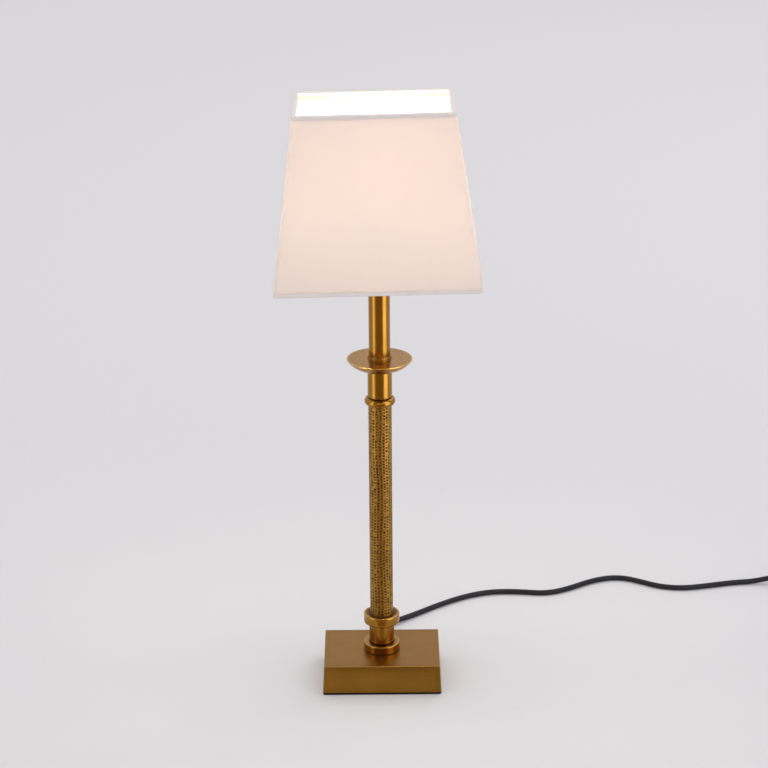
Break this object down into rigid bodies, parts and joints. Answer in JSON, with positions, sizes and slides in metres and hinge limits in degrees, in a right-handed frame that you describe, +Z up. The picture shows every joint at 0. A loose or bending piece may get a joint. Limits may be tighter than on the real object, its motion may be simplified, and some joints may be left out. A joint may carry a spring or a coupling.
{
  "type": "candlestick lamp",
  "caption": "Brass candlestick table lamp on a rectangular base, with a drip pan, a textured column, a tapered rectangular fabric shade and a black mains lead.",
  "frame": {"origin": "centre of the underside of the foot pad, on the surface that the lamp stands on", "axes": "+Z up along the stem, +Y to the back, where the lead leaves the base, +X to the right along the base's long side"},
  "size_m": [0.6971, 0.2983, 0.6025],
  "materials": {
    "antique_brass": "antique, satin polished",
    "lizard_brass": "antique, with small dark pits in irregular rows",
    "black_felt": "felt",
    "zinc_steel": "zinc plated",
    "cast_weight": "as cast",
    "holder_plastic": "white thermoplastic",
    "ceramic_insert": "matt",
    "contact_brass": "bright",
    "bulb_metal": "nickel plated",
    "bulb_bead": "glossy black",
    "bulb_glass": "clear",
    "bulb_filament": "coated light sticks",
    "shade_fabric": "fine plain weave, off-white",
    "shade_liner": "white laminate",
    "shade_trim": "rolled fabric edge",
    "white_wire": "white powder coat",
    "black_rubber": "satin",
    "black_lead": "smooth, slightly glossy",
    "core_insulation": "smooth",
    "tie_fabric": "woven strap",
    "black_plastic": "fine satin",
    "pin_metal": "nickel plated"
  },
  "bodies": {
    "lamp": {"foot_pad": "black_felt", "bottom_plate": "zinc_steel", "bottom_plate_screws": "zinc_steel", "base_shell": "antique_brass", "base_weight": "cast_weight", "stem_rod": "zinc_steel", "rod_washer": "zinc_steel", "rod_nut": "zinc_steel", "foot_ring": "antique_brass", "neck_tube": "antique_brass", "collar": "antique_brass", "textured_column": "lizard_brass", "bead_ring": "antique_brass", "drip_tube": "antique_brass", "drip_pan": "antique_brass", "candle_tube": "antique_brass", "candle_cap": "antique_brass", "holder_base": "holder_plastic", "holder_skirt": "holder_plastic", "holder_insert": "ceramic_insert", "holder_terminal_screws": "contact_brass", "holder_screw_shell": "contact_brass", "holder_centre_tongue": "contact_brass", "cord_relief": "black_rubber", "cord_inside": "black_lead", "cord_clamp": "holder_plastic", "cord_clamp_screws": "zinc_steel", "lamp_wires": "core_insulation", "cord_free": "black_lead", "cord_coil": "black_lead", "coil_tie": "tie_fabric", "switch_base": "black_plastic", "switch_cover": "black_plastic", "switch_screws": "zinc_steel", "switch_contacts": "contact_brass", "switch_wires": "black_lead", "plug_body": "black_plastic", "plug_relief": "black_rubber", "plug_pins": "pin_metal"},
    "shade": {"shade_fabric": "shade_fabric", "shade_liner": "shade_liner", "shade_frame": "white_wire", "shade_top_wire": "white_wire", "shade_top_trim": "shade_trim", "shade_bottom_trim": "shade_trim"},
    "lock_ring": {"shade_lock_ring": "holder_plastic"},
    "bulb": {"bulb_contact": "bulb_metal", "bulb_insulator": "bulb_bead", "bulb_screw_cap": "bulb_metal", "bulb_glass": "bulb_glass", "bulb_stem": "bulb_glass", "bulb_filaments": "bulb_filament"},
    "rocker": {"switch_rocker": "black_plastic"}
  },
  "joints": [
    {"name": "shade_turn", "type": "hinge", "parent": "lamp", "child": "shade", "pos_m": [0, 0, 0.4782], "axis": [0, 0, 1], "continuous": true},
    {"name": "lock_ring_turn", "type": "hinge", "parent": "lamp", "child": "lock_ring", "pos_m": [0, 0, 0.4805], "axis": [0, 0, 1], "continuous": true},
    {"name": "bulb_turn", "type": "hinge", "parent": "lamp", "child": "bulb", "pos_m": [0, 0, 0.491], "axis": [0, 0, 1], "continuous": true},
    {"name": "rocker_tilt", "type": "hinge", "parent": "lamp", "child": "rocker", "pos_m": [0.484, 0.2125, 0.0135], "axis": [0, -1, 0], "range_deg": [0, 22]}
  ]
}
